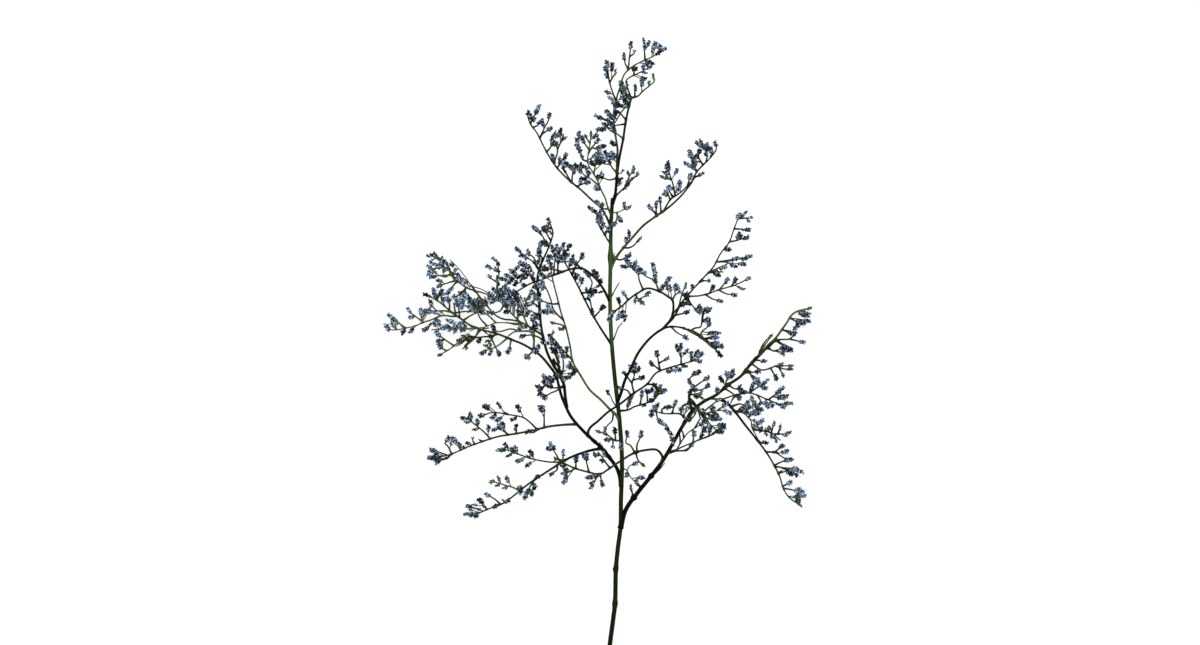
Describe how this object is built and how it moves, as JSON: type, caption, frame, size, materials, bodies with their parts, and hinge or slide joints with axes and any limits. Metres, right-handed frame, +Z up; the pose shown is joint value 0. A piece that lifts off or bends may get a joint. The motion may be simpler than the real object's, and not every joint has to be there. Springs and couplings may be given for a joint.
{
  "type": "dried statice",
  "caption": "Cut stem of dried statice lying on its side: a slender green stem with wiry, forking sprays that carry small flared blue florets.",
  "frame": {"origin": "middle of the footprint of the whole cut stem, on the table that it lies on", "axes": "+Y along the main stem from its cut foot towards the tip; +Z up from the table; +X to the right of the stem seen from above"},
  "size_m": [0.4316, 0.7004, 0.0766],
  "materials": {
    "stem_green": "dry fibrous stem, dull green, darker towards the foot",
    "twig_olive": "dry wiry twig, olive green to near black",
    "floret_blue": "dry papery calyx and petals, granular dusty blue over olive"
  },
  "bodies": {
    "root": {"main_stem": "stem_green", "crown_spray": "floret_blue", "upper_left_spray": "floret_blue", "left_shoot_spray": "floret_blue", "top_sprig": "twig_olive", "small_left_spray": "floret_blue", "upper_right_spray": "floret_blue", "right_middle_spray": "floret_blue", "crossing_right_spray": "floret_blue", "inner_right_sprig": "floret_blue", "green_left_spray": "floret_blue", "stem_left_sprig": "twig_olive", "inner_left_spray": "floret_blue", "arch_left_spray": "floret_blue", "left_branch_spray": "floret_blue", "left_upright_spray": "floret_blue", "left_mass_spray": "floret_blue", "far_left_spray": "floret_blue", "lower_left_spray": "floret_blue", "low_left_spray": "floret_blue", "arch_crossing_spray": "floret_blue", "stem_right_sprig": "twig_olive", "right_bough_spray": "floret_blue", "right_outer_spray": "floret_blue", "right_low_spray": "floret_blue", "right_inner_spray": "floret_blue", "right_cross_spray": "floret_blue", "right_under_spray": "floret_blue"}
  },
  "joints": []
}
